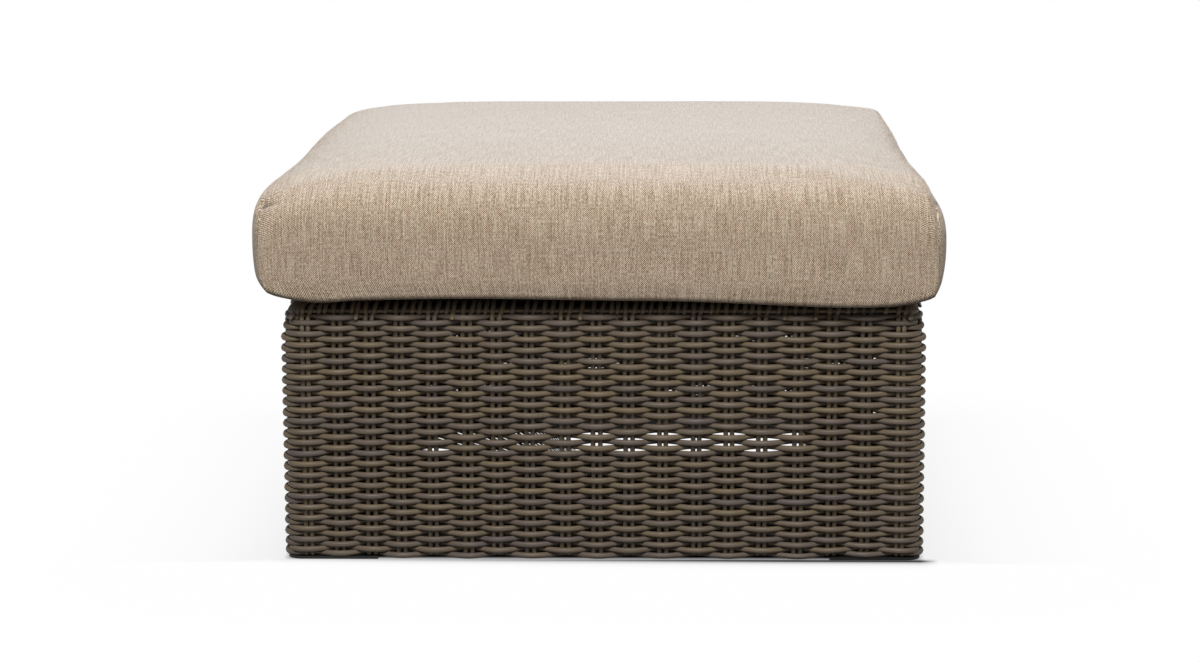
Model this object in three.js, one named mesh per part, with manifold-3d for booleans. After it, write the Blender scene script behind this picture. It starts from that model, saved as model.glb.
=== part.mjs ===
// An outdoor ottoman: a welded aluminium tube frame, a woven resin skin with a wrapped rim, a woven
// seat deck, four screwed floor pads and a loose zipped cushion with a foam core.
// Millimetres, +Z up. The front faces -Y and the origin lies on the floor under the centre.
import * as THREE from "three";
import { mergeVertices } from "three/addons/utils/BufferGeometryUtils.js";
import Module from "manifold-3d";

const wasm = await Module();
wasm.setup();

// Base
const BASE_WIDTH = 690;
const BASE_DEPTH = 690;
const BASE_HEIGHT = 280; // floor to the top of the rim
const CORNER_RADIUS = 20; // of the woven corners, seen from above
const FIT = 0.3; // clearance between neighbouring pieces
const OVERRUN = 5; // how far a cutter runs past what it cuts

// Woven skin
const STRAND = 5; // diameter of an upright strand, and of the strands of rim and deck
const WEAVER = 6.4; // diameter of a level strand
const ROW_PITCH = 5.8;
const ROW_RELIEF = 2.4; // depth of the groove between two rows
const RIM_DROP = 18; // how far the rim comes down over the side
const RIM_RADIUS = 15; // of the rim's outer edge

// Frame
const TUBE = 25;
const TUBE_WALL = 1.5;
const TUBE_CORNER = 2.5;
const CROSS_TUBE = 20;
const CROSS_SPACING = 220; // between the two rails under the deck

// Floor pads and their countersunk screws
const PAD_LENGTH = 98;
const PAD_TIP = 46; // width of a pad at the end of each leg
const PAD_THICK = 3;
const PAD_INSET = 4; // from the face of the weave
const SCREW_REACH = 72; // from the face of the weave, along a pad's leg
const SCREW_HEAD = 8;
const SCREW_HEAD_HEIGHT = 1.9;
const SCREW_HEAD_RIM = 0.4;
const SCREW_SHANK = 4;
const SCREW_LENGTH = 13;
const SCREW_TIP = 2;
const SCREW_SUNK = 0.4; // from the pad's underside to the head

// Cushion
const SIDE_OVERHANG = 26; // of the cushion past the base
const FRONT_OVERHANG = 21;
const CUSHION_EDGE = 122; // height at the end seams
const CUSHION_CROWN = 20; // added at the middle
const CLOTH = 2.5; // cover with its seam allowances
const END_BULGE = 7; // of an end panel, past its seam
const END_PULL = 12; // how far an end seam draws in between its corners
const END_NARROW = 6; // how far front and back draw in at the ends
const FACE_BULGE = 3; // of the front and back, at mid height
const TOP_RADIUS = 44;
const BOTTOM_RADIUS = 16;
const LEAST_RADIUS = 0.8;
const ROLL_REACH = 70; // from the cushion's edge to where its flat underside starts
const ROLL_LIFT = 4; // how far the underside's edge stands off the rim
const END_LIFT = 7; // how much further it stands off at the end seams
const FIBRE = 12; // wadding between cover and foam
const CORE_END = 8; // from the end seams to the foam

// Zip, along the back of the cushion
const ZIP_LENGTH = 560;
const ZIP_SLOT = 24;
const TAPE_THICK = 1;
const TEETH_WIDTH = 4;
const TEETH_THICK = 1.4;
const TEETH_END = 8; // from the tape's end to the teeth
const SLIDER_LENGTH = 13;
const SLIDER_WIDTH = 9;
const SLIDER_PLATE = 1.4; // over the teeth
const LUG_THICK = 1.3;
const LUG_LENGTH = 4;
const PIN_RADIUS = 0.6;
const PIN_CLEARANCE = 0.08;
const EYE_RADIUS = 1.6;
const TAB_LENGTH = 26;
const TAB_WIDTH = 7;
const TAB_THICK = 1.2;

// What follows from those sizes
const HALF_WIDTH = BASE_WIDTH / 2;
const HALF_DEPTH = BASE_DEPTH / 2;
const WEAVE = STRAND + 2 * WEAVER; // a level strand passes on each side of the uprights
const FRAME_INSET = WEAVE + FIT;
const FRAME_FOOT = PAD_THICK + FIT;
const RAIL_TOP = BASE_HEIGHT - STRAND - FIT;
const RIM_BOTTOM = BASE_HEIGHT - RIM_DROP;
const RIM_REACH = FRAME_INSET + TUBE; // across the top rail, to its inner face
const DECK_THICK = 2 * STRAND;
const DECK_UNDERSIDE = BASE_HEIGHT - DECK_THICK;
const CUSHION_WIDTH = BASE_WIDTH + 2 * SIDE_OVERHANG;
const CUSHION_DEPTH = BASE_DEPTH + 2 * FRONT_OVERHANG;
const CUSHION_BASE = BASE_HEIGHT + FIT;
const SEAM_HALF = CUSHION_WIDTH / 2 - END_BULGE - CLOTH - FIT;
const QUARTER = Math.PI / 2;
const HALF_TURN = Math.PI;

// Facet counts
const CORNER_STEPS = 2;
const TUBE_CORNER_STEPS = 3;
const RIM_STEPS = 4;
const SCREW_SIDES = 14;
const EYE_SIDES = 20;

const colours = {
  resin: new THREE.MeshStandardMaterial({ color: 0x5c5145, roughness: 0.6, metalness: 0 }),
  deckResin: new THREE.MeshStandardMaterial({ color: 0x3f372f, roughness: 0.6, metalness: 0 }),
  frame: new THREE.MeshStandardMaterial({ color: 0x2f2a26, roughness: 0.5, metalness: 0.6 }),
  pad: new THREE.MeshStandardMaterial({ color: 0x151515, roughness: 0.55, metalness: 0 }),
  screw: new THREE.MeshStandardMaterial({ color: 0xb8b8b8, roughness: 0.35, metalness: 0.9 }),
  cloth: new THREE.MeshStandardMaterial({ color: 0xc9b8a4, roughness: 0.95, metalness: 0 }),
  fibre: new THREE.MeshStandardMaterial({ color: 0xf0eee8, roughness: 1, metalness: 0 }),
  foam: new THREE.MeshStandardMaterial({ color: 0xe9dfae, roughness: 1, metalness: 0 }),
  zip: new THREE.MeshStandardMaterial({ color: 0xa8937c, roughness: 0.7, metalness: 0 }),
  slider: new THREE.MeshStandardMaterial({ color: 0x8e8577, roughness: 0.35, metalness: 0.8 }),
};

const ottoman = new THREE.Group();
const base = new THREE.Group();
const cushion = new THREE.Group();
cushion.position.z = CUSHION_BASE;
ottoman.add(base, cushion);

function addMesh(group, name, geometry, material) {
  const mesh = new THREE.Mesh(geometry, material);
  mesh.name = name;
  group.add(mesh);
  return mesh;
}

// Solids

// An indexed geometry with its faces turned outwards, from points and triangles of one closed body.
function closedGeometry(points, triangles) {
  let volume = 0;
  for (const [a, b, c] of triangles) {
    volume += points[a].dot(new THREE.Vector3().crossVectors(points[b], points[c]));
  }
  const faces = volume < 0 ? triangles.map(([a, b, c]) => [a, c, b]) : triangles;
  const geometry = new THREE.BufferGeometry().setFromPoints(points);
  geometry.setIndex(faces.flat());
  geometry.computeVertexNormals();
  return geometry;
}

// Triangles of an outline of [x, y] points, all wound as the outline is.
function capTriangles(outline) {
  const flat = outline.map(([x, y]) => new THREE.Vector2(x, y));
  const wound = Math.sign(THREE.ShapeUtils.area(flat));
  return THREE.ShapeUtils.triangulateShape(flat, []).map(([a, b, c]) => {
    const turned = Math.sign(THREE.ShapeUtils.area([flat[a], flat[b], flat[c]]));
    return turned === wound ? [a, b, c] : [a, c, b];
  });
}

// Bands of triangles from ring to ring. Rings hold equally many points.
function bands(rings, joined) {
  const size = rings[0].length;
  const triangles = [];
  const last = joined ? rings.length : rings.length - 1;
  for (let k = 0; k < last; k++) {
    const here = k * size;
    const next = ((k + 1) % rings.length) * size;
    for (let j = 0; j < size; j++) {
      const i = (j + 1) % size;
      triangles.push([here + j, here + i, next + i], [here + j, next + i, next + j]);
    }
  }
  return triangles;
}

// A shell whose last ring meets its first.
function ringShell(rings) {
  return closedGeometry(rings.flat(), bands(rings, true));
}

// A body closed at both ends by a fan to the middle of the ring.
function fannedBody(rings) {
  const size = rings[0].length;
  const points = rings.flat();
  const triangles = bands(rings, false);
  const ends = [
    [0, rings[0], false],
    [(rings.length - 1) * size, rings[rings.length - 1], true],
  ];
  for (const [start, ring, forward] of ends) {
    const middle = ring.reduce((sum, p) => sum.add(p), new THREE.Vector3()).divideScalar(size);
    const centre = points.push(middle) - 1;
    for (let j = 0; j < size; j++) {
      const a = start + j;
      const b = start + ((j + 1) % size);
      triangles.push(forward ? [a, b, centre] : [b, a, centre]);
    }
  }
  return closedGeometry(points, triangles);
}

// A body that carries an outline of [inset, height] points through stations. A station turns an inset
// into [x, y].
function sweptBody(outline, stations) {
  const rings = stations.map((station) => outline.map(([u, z]) => new THREE.Vector3(...station(u), z)));
  const triangles = bands(rings, false);
  const end = (rings.length - 1) * outline.length;
  for (const [a, b, c] of capTriangles(outline)) {
    triangles.push([a, c, b], [end + a, end + b, end + c]);
  }
  return closedGeometry(rings.flat(), triangles);
}

function block([x0, x1], [y0, y1], [z0, z1]) {
  const box = new THREE.BoxGeometry(x1 - x0, y1 - y0, z1 - z0);
  return box.translate((x0 + x1) / 2, (y0 + y1) / 2, (z0 + z1) / 2);
}

// A round bar along Z from z0 to z1.
function bar(radius, z0, z1, sides) {
  const length = z1 - z0;
  const cylinder = new THREE.CylinderGeometry(radius, radius, length, sides);
  return cylinder.rotateX(QUARTER).translate(0, 0, z0 + length / 2);
}

// A turned body about Z, from [radius, height] points that start and end on the axis.
function turned(outline, sides) {
  const profile = outline.map(([r, z]) => new THREE.Vector2(r, z));
  return new THREE.LatheGeometry(profile, sides).rotateX(QUARTER);
}

function toSolid(geometry) {
  const bare = geometry.clone();
  bare.deleteAttribute("normal");
  bare.deleteAttribute("uv");
  const merged = mergeVertices(bare);
  const vertProperties = merged.attributes.position.array;
  const triVerts = new Uint32Array(merged.index.array);
  return new wasm.Manifold(new wasm.Mesh({ numProp: 3, vertProperties, triVerts }));
}

function toGeometry(solid) {
  const mesh = solid.getMesh();
  const geometry = new THREE.BufferGeometry();
  geometry.setAttribute("position", new THREE.BufferAttribute(mesh.vertProperties, mesh.numProp));
  geometry.setIndex(new THREE.BufferAttribute(mesh.triVerts, 1));
  geometry.computeVertexNormals();
  return geometry;
}

function cut(geometry, ...cutters) {
  return toGeometry(cutters.reduce((left, cutter) => left.subtract(toSolid(cutter)), toSolid(geometry)));
}

function join(...geometries) {
  return toGeometry(geometries.map(toSolid).reduce((whole, piece) => whole.add(piece)));
}

function common(a, b) {
  return toGeometry(toSolid(a).intersect(toSolid(b)));
}

// Frame

// A square tube with rounded corners along Z, centred on the origin.
function squareTube(length, side) {
  const half = side / 2;
  const flat = half - TUBE_CORNER;
  const shape = new THREE.Shape();
  shape.absarc(flat, flat, TUBE_CORNER, 0, QUARTER);
  shape.absarc(-flat, flat, TUBE_CORNER, QUARTER, HALF_TURN);
  shape.absarc(-flat, -flat, TUBE_CORNER, HALF_TURN, HALF_TURN + QUARTER);
  shape.absarc(flat, -flat, TUBE_CORNER, HALF_TURN + QUARTER, 2 * HALF_TURN);
  const bore = half - TUBE_WALL;
  const hole = new THREE.Path();
  hole.moveTo(-bore, -bore).lineTo(bore, -bore).lineTo(bore, bore).lineTo(-bore, bore).closePath();
  shape.holes.push(hole);
  const settings = { depth: length, bevelEnabled: false, curveSegments: TUBE_CORNER_STEPS };
  return new THREE.ExtrudeGeometry(shape, settings).translate(0, 0, -length / 2);
}

const frameX = HALF_WIDTH - FRAME_INSET - TUBE / 2; // centre lines of the tubes
const frameY = HALF_DEPTH - FRAME_INSET - TUBE / 2;
const sides = [
  // name, turn about Z, half length of the side, distance of the face from the centre
  ["front", 0, HALF_WIDTH, HALF_DEPTH],
  ["right", QUARTER, HALF_DEPTH, HALF_WIDTH],
  ["back", HALF_TURN, HALF_WIDTH, HALF_DEPTH],
  ["left", -QUARTER, HALF_DEPTH, HALF_WIDTH],
];
const corners = [
  ["front_left", -1, -1],
  ["front_right", 1, -1],
  ["back_right", 1, 1],
  ["back_left", -1, 1],
];

// A rail along X for the side that faces -Y, with a hole in its underside at each screw.
function sideRail(halfLength, holed) {
  const length = 2 * (halfLength - FRAME_INSET - TUBE - FIT);
  const rail = squareTube(length, TUBE).rotateY(QUARTER);
  if (!holed) return rail;
  const reach = halfLength - SCREW_REACH;
  const under = -TUBE / 2 - OVERRUN;
  const inside = TUBE_WALL + FIT - TUBE / 2;
  const holes = [-reach, reach].map((x) =>
    bar(SCREW_SHANK / 2 + FIT, under, inside, SCREW_SIDES).translate(x, 0, 0),
  );
  return cut(rail, ...holes);
}

function addFrame() {
  const postHeight = RAIL_TOP - FRAME_FOOT;
  for (const [name, x, y] of corners) {
    const post = addMesh(base, `corner_post_${name}`, squareTube(postHeight, TUBE), colours.frame);
    post.position.set(x * frameX, y * frameY, FRAME_FOOT + postHeight / 2);
  }
  for (const [name, turn, halfLength, distance] of sides) {
    const side = new THREE.Group();
    side.rotation.z = turn;
    base.add(side);
    const railY = FRAME_INSET + TUBE / 2 - distance;
    const top = addMesh(side, `top_rail_${name}`, sideRail(halfLength, false), colours.frame);
    top.position.set(0, railY, RAIL_TOP - TUBE / 2);
    const bottom = addMesh(side, `bottom_rail_${name}`, sideRail(halfLength, true), colours.frame);
    bottom.position.set(0, railY, FRAME_FOOT + TUBE / 2);
  }
  const crossLength = 2 * (HALF_DEPTH - FRAME_INSET - TUBE - FIT);
  for (const [name, x] of [["left", -CROSS_SPACING / 2], ["right", CROSS_SPACING / 2]]) {
    const geometry = squareTube(crossLength, CROSS_TUBE).rotateX(QUARTER);
    const rail = addMesh(base, `deck_cross_rail_${name}`, geometry, colours.frame);
    rail.position.set(x, 0, DECK_UNDERSIDE - FIT - CROSS_TUBE / 2);
  }
}

// Woven skin

// The ends of a side that faces -Y are mitred at 45 degrees, half a clearance short of the corner.
function mitreEnd(hand, halfLength, distance) {
  return (u) => [hand * (halfLength - u - FIT), u - distance];
}

// Stations round half of each corner and along the side.
function roundedStations(halfLength, distance) {
  const centreX = halfLength - CORNER_RADIUS;
  const centreY = CORNER_RADIUS - distance;
  const at = (hand, angle, short) => (u) => [
    hand * (centreX + (CORNER_RADIUS - u) * Math.sin(angle) - short),
    centreY - (CORNER_RADIUS - u) * Math.cos(angle),
  ];
  const stations = [];
  for (const hand of [-1, 1]) {
    for (let k = 0; k <= CORNER_STEPS; k++) {
      const step = hand < 0 ? CORNER_STEPS - k : k;
      const angle = (QUARTER / 2) * (step / CORNER_STEPS);
      stations.push(at(hand, angle, step === CORNER_STEPS ? FIT : 0));
    }
  }
  return stations;
}

// A woven side: its face is a ridge for each row of level strands.
function wovenSide(halfLength, distance) {
  const foot = FRAME_FOOT;
  const head = RIM_BOTTOM - FIT;
  const rows = Math.max(1, Math.round((head - foot) / ROW_PITCH));
  const pitch = (head - foot) / rows;
  const outline = [[ROW_RELIEF, foot]];
  for (let row = 0; row < rows; row++) {
    outline.push([0, foot + pitch * (row + 1 / 2)], [ROW_RELIEF, foot + pitch * (row + 1)]);
  }
  outline.push([WEAVE, head], [WEAVE, foot]);
  return sweptBody(outline, roundedStations(halfLength, distance));
}

// The wrapped rim: over the top rail, round its outer edge and down over the head of the side.
function wrappedRim(halfLength, distance) {
  const outline = [[0, RIM_BOTTOM]];
  for (let k = 0; k <= RIM_STEPS; k++) {
    const angle = QUARTER * (k / RIM_STEPS);
    outline.push([
      RIM_RADIUS * (1 - Math.cos(angle)),
      BASE_HEIGHT - RIM_RADIUS * (1 - Math.sin(angle)),
    ]);
  }
  outline.push([RIM_REACH, BASE_HEIGHT], [RIM_REACH, RAIL_TOP + FIT]);
  outline.push([WEAVE, RAIL_TOP + FIT], [WEAVE, RIM_BOTTOM]);
  const ends = [mitreEnd(-1, halfLength, distance), mitreEnd(1, halfLength, distance)];
  return common(sweptBody(outline, ends), roundedPlan(halfLength, distance));
}

// An upright prism of the base's plan, with its rounded corners.
function roundedPlan(halfLength, distance) {
  const x = halfLength - CORNER_RADIUS;
  const y = distance - CORNER_RADIUS;
  const shape = new THREE.Shape();
  shape.absarc(x, y, CORNER_RADIUS, 0, QUARTER);
  shape.absarc(-x, y, CORNER_RADIUS, QUARTER, HALF_TURN);
  shape.absarc(-x, -y, CORNER_RADIUS, HALF_TURN, HALF_TURN + QUARTER);
  shape.absarc(x, -y, CORNER_RADIUS, HALF_TURN + QUARTER, 2 * HALF_TURN);
  const height = BASE_HEIGHT + 2 * OVERRUN;
  const settings = { depth: height, bevelEnabled: false, curveSegments: 2 * CORNER_STEPS };
  return new THREE.ExtrudeGeometry(shape, settings).translate(0, 0, -OVERRUN);
}

function addWeave() {
  for (const [name, turn, halfLength, distance] of sides) {
    const side = new THREE.Group();
    side.rotation.z = turn;
    base.add(side);
    addMesh(side, `woven_side_${name}`, wovenSide(halfLength, distance), colours.resin);
    addMesh(side, `wrapped_rim_${name}`, wrappedRim(halfLength, distance), colours.resin);
  }
  const deckX = HALF_WIDTH - RIM_REACH - FIT;
  const deckY = HALF_DEPTH - RIM_REACH - FIT;
  const deck = block([-deckX, deckX], [-deckY, deckY], [DECK_UNDERSIDE, BASE_HEIGHT]);
  addMesh(base, "woven_seat_deck", deck, colours.deckResin);
}

// Floor pads

// A screw from below, with its head's face at height zero. Grown by the clearance it is its own hole.
function screwOutline(grow) {
  const head = SCREW_HEAD / 2 + grow;
  const shank = SCREW_SHANK / 2 + grow;
  return [
    [0, grow ? -OVERRUN : 0],
    [head, grow ? -OVERRUN : 0],
    [head, SCREW_HEAD_RIM],
    [shank, SCREW_HEAD_HEIGHT],
    [shank, SCREW_LENGTH - SCREW_TIP],
    [0, SCREW_LENGTH],
  ];
}

// A pad for the corner towards +X +Y. Its origin is the corner of the base's two faces.
function floorPad() {
  const near = -PAD_INSET;
  const tip = -PAD_INSET - PAD_TIP;
  const far = -PAD_INSET - PAD_LENGTH;
  const radius = CORNER_RADIUS - PAD_INSET;
  const shape = new THREE.Shape();
  shape.moveTo(far, near).lineTo(far, tip).lineTo(tip, far).lineTo(near, far);
  shape.absarc(near - radius, near - radius, radius, 0, QUARTER);
  shape.closePath();
  const settings = { depth: PAD_THICK, bevelEnabled: false, curveSegments: 2 * CORNER_STEPS };
  const holes = padScrewPlaces().map(([x, y]) =>
    turned(screwOutline(FIT), SCREW_SIDES).translate(x, y, SCREW_SUNK),
  );
  return cut(new THREE.ExtrudeGeometry(shape, settings), ...holes);
}

// Where the two screws stand from the pad's origin: on the centre lines of the two rails.
function padScrewPlaces() {
  const line = -FRAME_INSET - TUBE / 2;
  return [
    [-SCREW_REACH, line],
    [line, -SCREW_REACH],
  ];
}

function addPads() {
  const turns = { front_left: HALF_TURN, front_right: -QUARTER, back_right: 0, back_left: QUARTER };
  for (const [name, x, y] of corners) {
    const corner = new THREE.Group();
    corner.position.set(x * HALF_WIDTH, y * HALF_DEPTH, 0);
    corner.rotation.z = turns[name];
    base.add(corner);
    addMesh(corner, `floor_pad_${name}`, floorPad(), colours.pad);
    padScrewPlaces().forEach(([sx, sy], k) => {
      const geometry = turned(screwOutline(0), SCREW_SIDES);
      const screw = addMesh(corner, `pad_screw_${name}_${k + 1}`, geometry, colours.screw);
      screw.position.set(sx, sy, SCREW_SUNK);
    });
  }
}

// Cushion, in a group whose height zero is the cushion's underside

// Shares of the half width at which the cushion's sections stand.
const stationShares = [-1, -0.96, -0.88, -0.74, -0.42, 0, 0.42, 0.74, 0.88, 0.96, 1];
// Shares of the height of a side face at which its bulge starts, peaks and ends.
const faceShares = [0.3, 0.7];
const CROWN_POWER = 5;
const LIFT_POWER = 12;
const BULGE_POWER = 4;
const BOTTOM_ARC_STEPS = 3;
const TOP_ARC_STEPS = 4;
const TOP_MIDDLE_SHARE = 0.5;
const endShares = [1, 0.86, 0.5]; // rings of an end panel, as shares of its outline

// Half of the section at a share of the half width, from the underside's flat to the top, as [y, z].
// An inset moves the outline inwards.
function halfSection(share, inset) {
  const fade = Math.abs(share) ** CROWN_POWER;
  const edge = CUSHION_DEPTH / 2 - FACE_BULGE - END_NARROW * fade - inset;
  const top = CUSHION_EDGE + CUSHION_CROWN * (1 - fade) - inset;
  const low = Math.max(BOTTOM_RADIUS - inset, LEAST_RADIUS);
  const high = Math.max(TOP_RADIUS - inset, LEAST_RADIUS);
  const raised = END_LIFT * Math.abs(share) ** LIFT_POWER + inset;
  const lifted = ROLL_LIFT + raised;
  const points = [[edge + inset - ROLL_REACH, raised]];
  for (let k = 0; k <= BOTTOM_ARC_STEPS; k++) {
    const angle = QUARTER * (k / BOTTOM_ARC_STEPS);
    points.push([edge - low * (1 - Math.sin(angle)), lifted + low * (1 - Math.cos(angle))]);
  }
  const faceLow = lifted + low;
  const faceHigh = top - high;
  for (const part of faceShares) {
    points.push([edge + FACE_BULGE, faceLow + part * (faceHigh - faceLow)]);
  }
  for (let k = 0; k <= TOP_ARC_STEPS; k++) {
    const angle = QUARTER * (k / TOP_ARC_STEPS);
    points.push([edge - high * (1 - Math.cos(angle)), faceHigh + high * Math.sin(angle)]);
  }
  points.push([(edge - high) * TOP_MIDDLE_SHARE, top]);
  return points;
}

function sectionLoop(share, inset) {
  const half = halfSection(share, inset);
  const top = half[half.length - 1][1];
  const mirrored = half.map(([y, z]) => [-y, z]).reverse();
  return [...half, [0, top], ...mirrored];
}

// How far the end seam stands from the middle at a place across the depth.
function seamAt(y) {
  const across = y / (CUSHION_DEPTH / 2);
  return SEAM_HALF - END_PULL * (1 - across * across);
}

// Ring of points of the cushion at a share of its half width. It stops short of the seam by endGap.
function cushionRing(share, inset, endGap) {
  const loop = sectionLoop(share, inset);
  return loop.map(([y, z]) => new THREE.Vector3(share * (seamAt(y) - endGap), y, z));
}

function coverBand() {
  const outer = stationShares.map((share) => cushionRing(share, 0, 0));
  const inner = stationShares.map((share) => cushionRing(share, CLOTH, 0)).reverse();
  return ringShell([...outer, ...inner]);
}

// An end panel: a bulged sheet whose edge lies against the end of the band.
function endPanel(hand) {
  const edge = sectionLoop(1, 0);
  const middle = (CUSHION_EDGE + ROLL_LIFT) / 2;
  const sheetRing = (part, depth) =>
    edge.map(([y, z]) => {
      const out = seamAt(y) + FIT + END_BULGE * (1 - part ** BULGE_POWER) + depth;
      return new THREE.Vector3(hand * out, y * part, middle + (z - middle) * part);
    });
  const inner = endShares.map((part) => sheetRing(part, 0));
  const outer = endShares.map((part) => sheetRing(part, CLOTH));
  return fannedBody([...inner.reverse(), ...outer]);
}

const FIBRE_INSET = CLOTH + FIT;
const FOAM_INSET = FIBRE_INSET + FIBRE + FIT;

function fibreWrap() {
  const outer = stationShares.map((share) => cushionRing(share, FIBRE_INSET, CORE_END));
  const inner = stationShares.map((share) => cushionRing(share, FIBRE_INSET + FIBRE, CORE_END)).reverse();
  return ringShell([...outer, ...inner]);
}

function foamCore() {
  return fannedBody(stationShares.map((share) => cushionRing(share, FOAM_INSET, CORE_END)));
}

// Heights and depths of the zip, from the outer face of the cushion's back.
const zipFace = CUSHION_DEPTH / 2;
const zipMiddle = (ROLL_LIFT + BOTTOM_RADIUS + CUSHION_EDGE + CUSHION_CROWN - TOP_RADIUS) / 2;
const tapeInner = zipFace - CLOTH;
const tapeOuter = tapeInner + TAPE_THICK;
const teethInner = tapeOuter + FIT;
const teethOuter = teethInner + TEETH_THICK;
const sliderFace = teethOuter + FIT + SLIDER_PLATE;
const pinY = sliderFace + FIT + EYE_RADIUS;
const teethHalf = ZIP_LENGTH / 2 - TEETH_END;
const sliderStart = teethHalf - SLIDER_LENGTH / 2;

function band(half) {
  return [zipMiddle - half, zipMiddle + half];
}

function addZip() {
  const tapeEnd = ZIP_LENGTH / 2 - FIT;
  const tape = block([-tapeEnd, tapeEnd], [tapeInner, tapeOuter], band(ZIP_SLOT / 2 - FIT));
  addMesh(cushion, "zip_tape", tape, colours.zip);
  const teeth = block([-teethHalf, teethHalf], [teethInner, teethOuter], band(TEETH_WIDTH / 2));
  addMesh(cushion, "zip_teeth", teeth, colours.zip);

  const slider = new THREE.Group();
  slider.position.set(sliderStart, 0, zipMiddle);
  cushion.add(slider);
  addMesh(slider, "zip_slider", zipSlider(), colours.slider);
  const tab = addMesh(slider, "zip_pull_tab", pullTab(), colours.slider);
  tab.position.y = pinY;
}

// The slider straddles the teeth. Two lugs on its face hold the pin of the pull tab.
function zipSlider() {
  const halfLength = SLIDER_LENGTH / 2;
  const halfWidth = SLIDER_WIDTH / 2;
  const groove = TEETH_WIDTH / 2 + FIT;
  const body = block([-halfLength, halfLength], [teethInner, sliderFace], [-halfWidth, halfWidth]);
  const channel = block(
    [-halfLength - OVERRUN, halfLength + OVERRUN],
    [teethInner - OVERRUN, teethOuter + FIT],
    [-groove, groove],
  );
  const lugLength = [-LUG_LENGTH / 2, LUG_LENGTH / 2];
  const lugDepth = [sliderFace - SLIDER_PLATE / 2, pinY + EYE_RADIUS];
  const lugs = [-1, 1].map((hand) => {
    const outer = hand * halfWidth;
    const inner = hand * (halfWidth - LUG_THICK);
    return block(lugLength, lugDepth, [Math.min(outer, inner), Math.max(outer, inner)]);
  });
  const pinHalf = halfWidth - LUG_THICK / 2;
  const pin = bar(PIN_RADIUS, -pinHalf, pinHalf, EYE_SIDES).translate(0, pinY, 0);
  return join(cut(body, channel), ...lugs, pin);
}

// The pull tab, about its pin: an eye and a rounded leaf towards +X.
function pullTab() {
  const eyeHalf = SLIDER_WIDTH / 2 - LUG_THICK - FIT;
  const eye = bar(EYE_RADIUS, -eyeHalf, eyeHalf, EYE_SIDES);
  const neck = block([0, SLIDER_LENGTH / 2], [-TAB_THICK / 2, TAB_THICK / 2], [-eyeHalf, eyeHalf]);
  const leaf = new THREE.Shape();
  const half = TAB_WIDTH / 2;
  const root = Math.hypot(LUG_LENGTH / 2, EYE_RADIUS) + FIT; // clear of the lugs as the tab turns
  leaf.moveTo(root, -half).lineTo(TAB_LENGTH - half, -half);
  leaf.absarc(TAB_LENGTH - half, 0, half, -QUARTER, QUARTER);
  leaf.lineTo(root, half).closePath();
  const settings = { depth: TAB_THICK, bevelEnabled: false, curveSegments: EYE_SIDES / 2 };
  const plate = new THREE.ExtrudeGeometry(leaf, settings).rotateX(QUARTER).translate(0, TAB_THICK / 2, 0);
  const boreRadius = (PIN_RADIUS + PIN_CLEARANCE) / Math.cos(HALF_TURN / EYE_SIDES); // clear at its flats
  const bore = bar(boreRadius, -half - OVERRUN, half + OVERRUN, EYE_SIDES);
  return cut(join(eye, neck, plate), bore);
}

function addCushion() {
  const half = ZIP_SLOT / 2;
  const slotLength = [-ZIP_LENGTH / 2, ZIP_LENGTH / 2];
  const slot = block(slotLength, [tapeInner - FIT / 2, zipFace + OVERRUN], band(half));
  addMesh(cushion, "cushion_cover_band", cut(coverBand(), slot), colours.cloth);
  addMesh(cushion, "cushion_end_panel_left", endPanel(-1), colours.cloth);
  addMesh(cushion, "cushion_end_panel_right", endPanel(1), colours.cloth);
  addMesh(cushion, "cushion_fibre_wrap", fibreWrap(), colours.fibre);
  addMesh(cushion, "cushion_foam_core", foamCore(), colours.foam);
  addZip();
}

addFrame();
addWeave();
addPads();
addCushion();

export default ottoman;
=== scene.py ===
import math
from typing import NamedTuple

import bpy
import numpy as np
from mathutils import Matrix, Vector
from mathutils.kdtree import KDTree


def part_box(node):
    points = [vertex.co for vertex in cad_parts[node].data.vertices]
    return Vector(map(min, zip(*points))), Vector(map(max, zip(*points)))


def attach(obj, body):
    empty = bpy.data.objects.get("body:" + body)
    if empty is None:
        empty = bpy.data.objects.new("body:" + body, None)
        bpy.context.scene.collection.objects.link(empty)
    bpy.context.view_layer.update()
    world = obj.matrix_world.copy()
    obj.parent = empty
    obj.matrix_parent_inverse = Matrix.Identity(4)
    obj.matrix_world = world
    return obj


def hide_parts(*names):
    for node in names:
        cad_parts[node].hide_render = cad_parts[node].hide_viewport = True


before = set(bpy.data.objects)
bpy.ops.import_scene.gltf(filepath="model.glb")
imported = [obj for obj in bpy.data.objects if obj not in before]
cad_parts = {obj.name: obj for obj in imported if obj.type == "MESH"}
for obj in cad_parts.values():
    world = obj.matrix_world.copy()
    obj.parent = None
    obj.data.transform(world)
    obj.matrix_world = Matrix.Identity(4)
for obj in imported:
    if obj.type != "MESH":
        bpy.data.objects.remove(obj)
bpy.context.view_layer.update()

MM = 0.001
rng = np.random.default_rng(11)


def box_of(node):
    """Lowest and highest corner of a frame node, in millimetres."""
    return [np.array(corner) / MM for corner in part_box(node)]


# Sizes in millimetres. The places follow the frame's own pieces.
side_low, side_high = box_of("woven_side_front")
rim_high = box_of("wrapped_rim_front")[1]
pad_high = box_of("floor_pad_front_left")[1]
deck_low, deck_high = box_of("woven_seat_deck")

FACE = -side_low[1]  # from the middle to the outer face of the weave
RIM_TOP = rim_high[2]
RIM_INNER = -rim_high[1]
RIM_WIDTH = FACE - RIM_INNER
SKIN = side_high[1] - side_low[1]  # thickness of the weave
CORNER_RADIUS = 20.0
RIM_RADIUS = 15.0

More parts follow.
